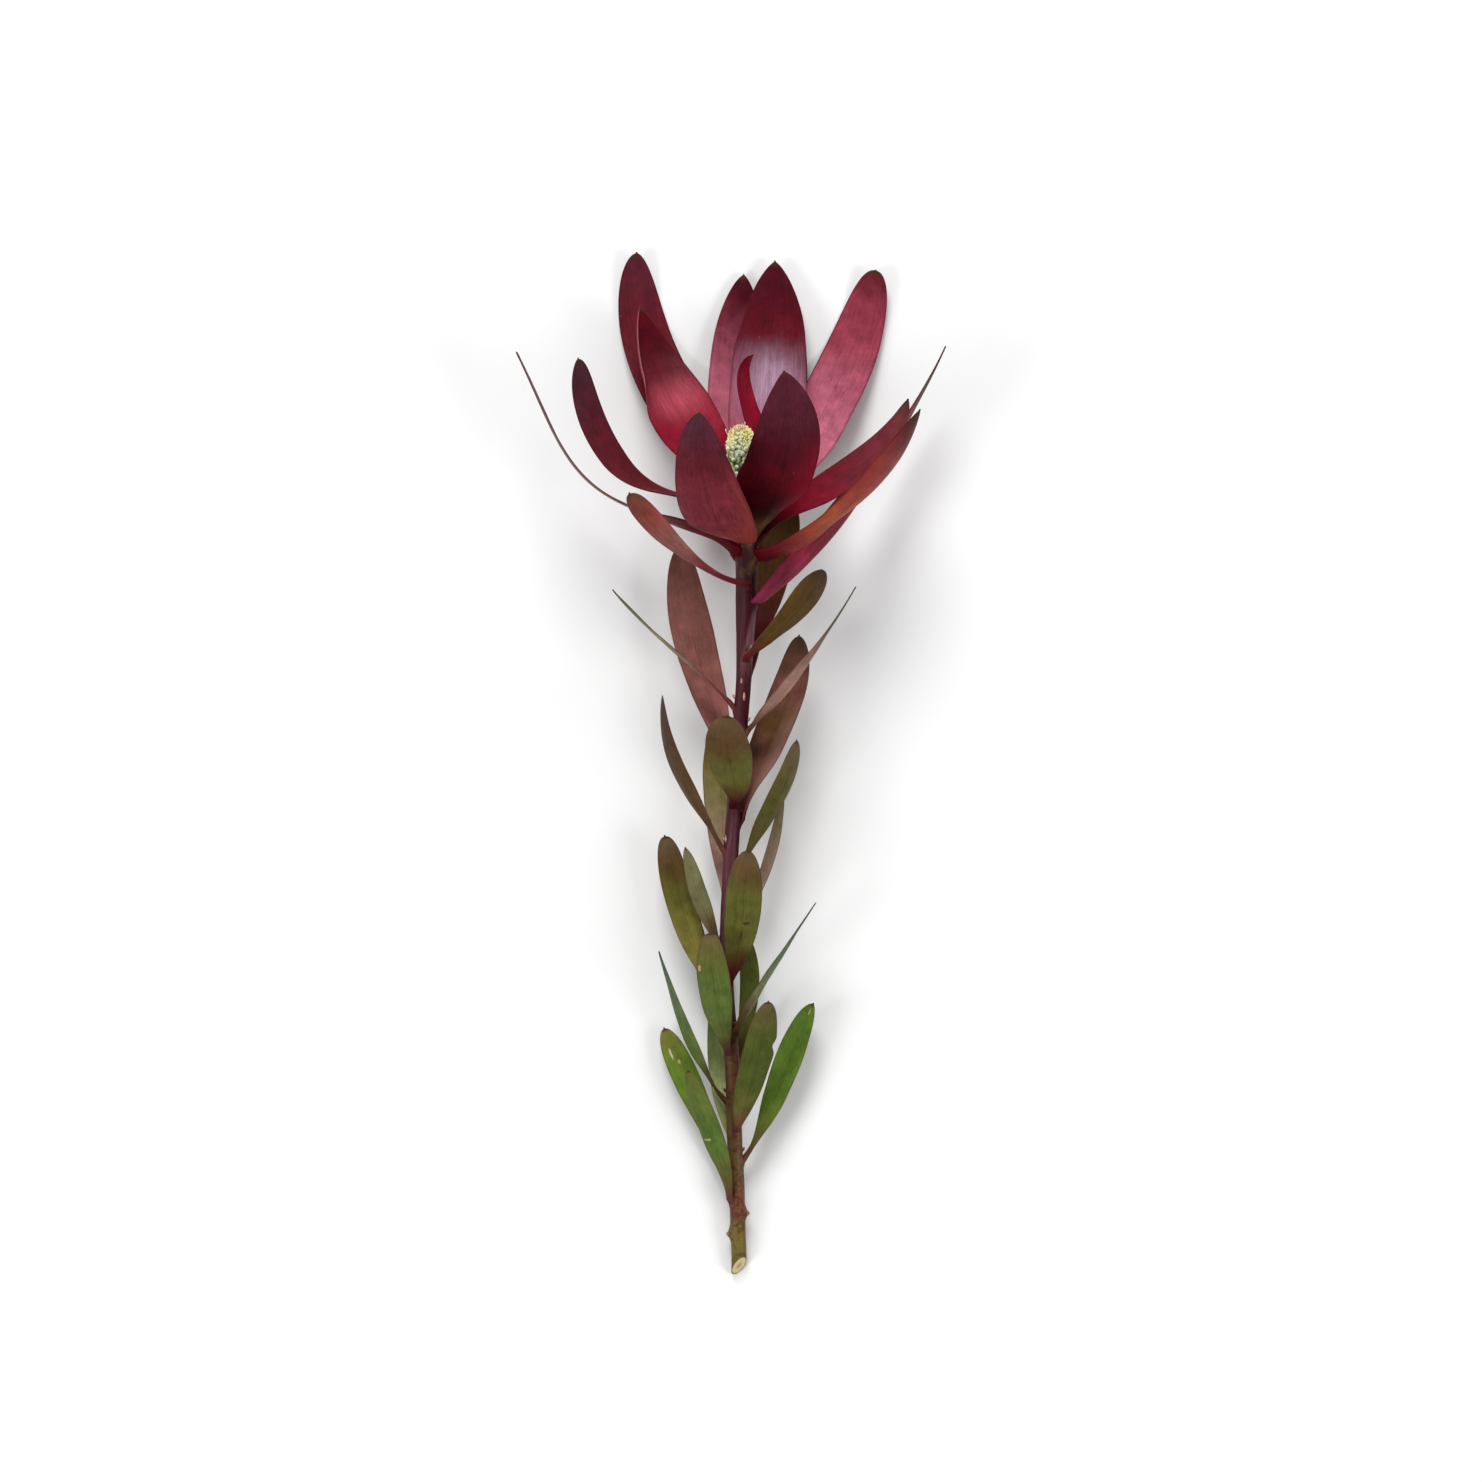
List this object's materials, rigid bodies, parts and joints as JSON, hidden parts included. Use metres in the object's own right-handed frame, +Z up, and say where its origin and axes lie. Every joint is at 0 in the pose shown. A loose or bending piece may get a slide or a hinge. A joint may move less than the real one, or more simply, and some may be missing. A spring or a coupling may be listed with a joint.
{
  "type": "cut leucadendron stem",
  "caption": "Cut stem that lies on a table: slender woody stem with narrow leathery leaves and a loose cup of long crimson bracts round a small pale cone.",
  "frame": {"origin": "middle of the bounding box on the table that the stem lies on", "axes": "+Y along the stem from the cut end to the head, +Z up from the table, +X to the right of the head seen from above"},
  "size_m": [0.1619, 0.3914, 0.0974],
  "materials": {
    "stem_bark": "matte young bark, dark red above and olive-brown below",
    "cone_florets": "matte, pale yellow-green",
    "bract_crimson": "smooth, slightly glossy crimson",
    "bract_rose": "smooth, dusty pink-red",
    "bract_plum": "matte, veined, dark plum-red",
    "bract_rust": "matte, veined, rust-red",
    "leaf_bronze": "matte, bronze-brown",
    "leaf_olive": "matte, olive with a reddish rim",
    "leaf_green": "matte, green",
    "leaf_grey_green": "matte, grey-green"
  },
  "bodies": {
    "root": {"stem": "stem_bark", "cone": "cone_florets", "bract_front_left": "bract_rust", "bract_front_right": "bract_plum", "bract_back_centre": "bract_crimson", "bract_back_left": "bract_rose", "bract_back_right": "bract_crimson", "bract_tall_left": "bract_crimson", "bract_tall_right": "bract_rose", "bract_folded": "bract_crimson", "bract_hooked": "bract_crimson", "bract_low_left": "bract_plum", "bract_edge_left": "bract_rust", "bract_low_right": "bract_rose", "bract_orange": "bract_rust", "bract_long_right": "bract_crimson", "leaf_01": "leaf_bronze", "leaf_02": "leaf_bronze", "leaf_03": "leaf_olive", "leaf_04": "leaf_olive", "leaf_05": "leaf_bronze", "leaf_06": "leaf_bronze", "leaf_07": "leaf_bronze", "leaf_08": "leaf_bronze", "leaf_09": "leaf_bronze", "leaf_10": "leaf_olive", "leaf_11": "leaf_olive", "leaf_12": "leaf_olive", "leaf_13": "leaf_olive", "leaf_14": "leaf_olive", "leaf_15": "leaf_green", "leaf_16": "leaf_grey_green", "leaf_17": "leaf_green", "leaf_18": "leaf_grey_green", "leaf_19": "leaf_green", "leaf_20": "leaf_green", "leaf_21": "leaf_green", "leaf_22": "leaf_green", "leaf_23": "leaf_grey_green", "leaf_24": "leaf_green"}
  },
  "joints": []
}
